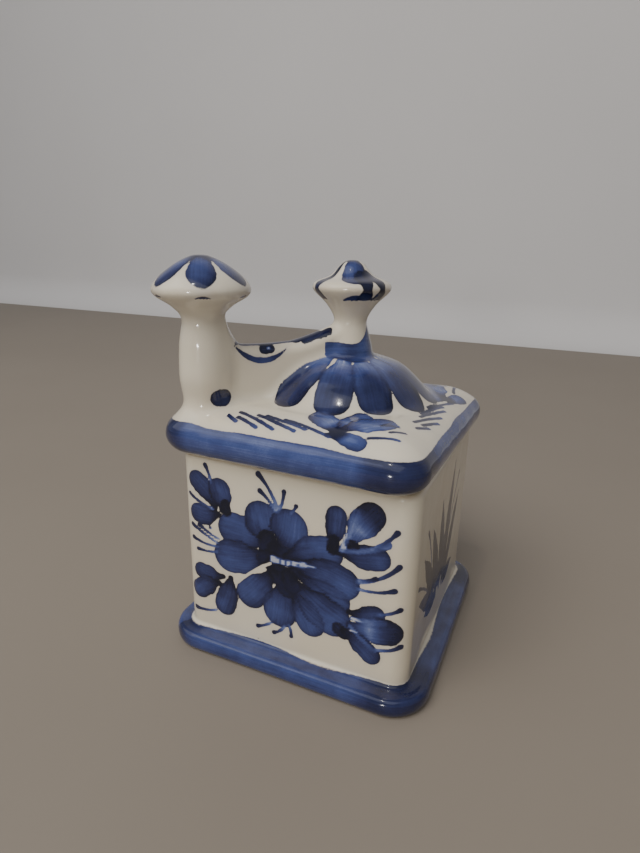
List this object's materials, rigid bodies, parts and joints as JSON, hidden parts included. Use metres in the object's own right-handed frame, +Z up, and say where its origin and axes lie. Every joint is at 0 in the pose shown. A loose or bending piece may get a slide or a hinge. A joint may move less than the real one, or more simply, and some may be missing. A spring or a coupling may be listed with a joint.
{
  "type": "trinket box",
  "caption": "Square glazed trinket box in the form of a hand coffee mill, with blue flowers on cream and a lift-off lid that carries a bell, a finial and a crank.",
  "frame": {"origin": "on the table, at the middle of the box's base face", "axes": "+Z up, +X and +Y square to the walls; the crank points towards -X, -Y, and the face with the large double flower looks along -Y"},
  "size_m": [0.0784, 0.0775, 0.1091],
  "materials": {
    "box_glaze": "glossy clear glaze over warm cream earthenware, with cobalt flowers painted on the walls and a cobalt plinth",
    "lid_glaze": "glossy clear glaze over warm cream earthenware, with a cobalt rolled edge and cobalt petals on the bell, the knob and the finial"
  },
  "bodies": {
    "box": {"box_body": "box_glaze"},
    "lid": {"lid": "lid_glaze"}
  },
  "joints": [
    {"name": "lid_lift", "type": "slide", "parent": "box", "child": "lid", "axis": [0, 0, 1], "range_m": [0, 0.045]}
  ]
}
